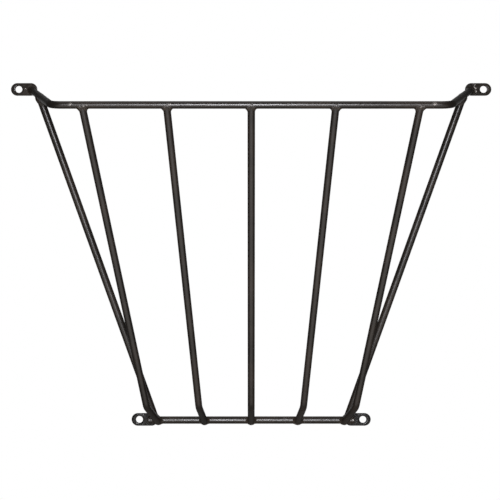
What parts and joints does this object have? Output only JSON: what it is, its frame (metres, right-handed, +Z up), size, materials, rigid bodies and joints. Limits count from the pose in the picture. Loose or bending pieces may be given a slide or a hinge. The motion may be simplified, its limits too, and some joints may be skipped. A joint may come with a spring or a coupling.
{
  "type": "wall hay rack",
  "caption": "Wall hay rack of bent, welded round steel rods: front bars and side rods taper from a deep top rail to a short bottom rail, and drilled lugs hold it to a wall.",
  "frame": {"origin": "on the wall face, at mid-width, level with the bottom screw holes", "axes": "+X to the right as seen from the front, +Y into the wall, +Z up. The backs of the lugs lie on y = 0"},
  "size_m": [0.914, 0.2668, 0.652],
  "materials": {
    "rod_paint": "satin black paint on round steel rod, worn thin in places",
    "lug_paint": "satin black paint on flat steel bar, with a few specks of weld spatter",
    "bead_paint": "duller black paint over uneven weld metal"
  },
  "bodies": {
    "root": {"top_rail": "rod_paint", "bottom_rail": "rod_paint", "bar_1": "rod_paint", "bar_2": "rod_paint", "bar_3": "rod_paint", "bar_4": "rod_paint", "bar_5": "rod_paint", "side_rod_left": "rod_paint", "side_rod_right": "rod_paint", "lug_top_left": "lug_paint", "lug_top_right": "lug_paint", "lug_bottom_left": "lug_paint", "lug_bottom_right": "lug_paint", "weld_bar_1_top": "bead_paint", "weld_bar_2_top": "bead_paint", "weld_bar_3_top": "bead_paint", "weld_bar_4_top": "bead_paint", "weld_bar_5_top": "bead_paint", "weld_bar_1_foot": "bead_paint", "weld_bar_2_foot": "bead_paint", "weld_bar_3_foot": "bead_paint", "weld_bar_4_foot": "bead_paint", "weld_bar_5_foot": "bead_paint", "weld_side_rod_left_top": "bead_paint", "weld_side_rod_right_top": "bead_paint", "weld_lug_top_left": "bead_paint", "weld_lug_top_right": "bead_paint", "weld_lug_bottom_left": "bead_paint", "weld_lug_bottom_right": "bead_paint"}
  },
  "joints": []
}
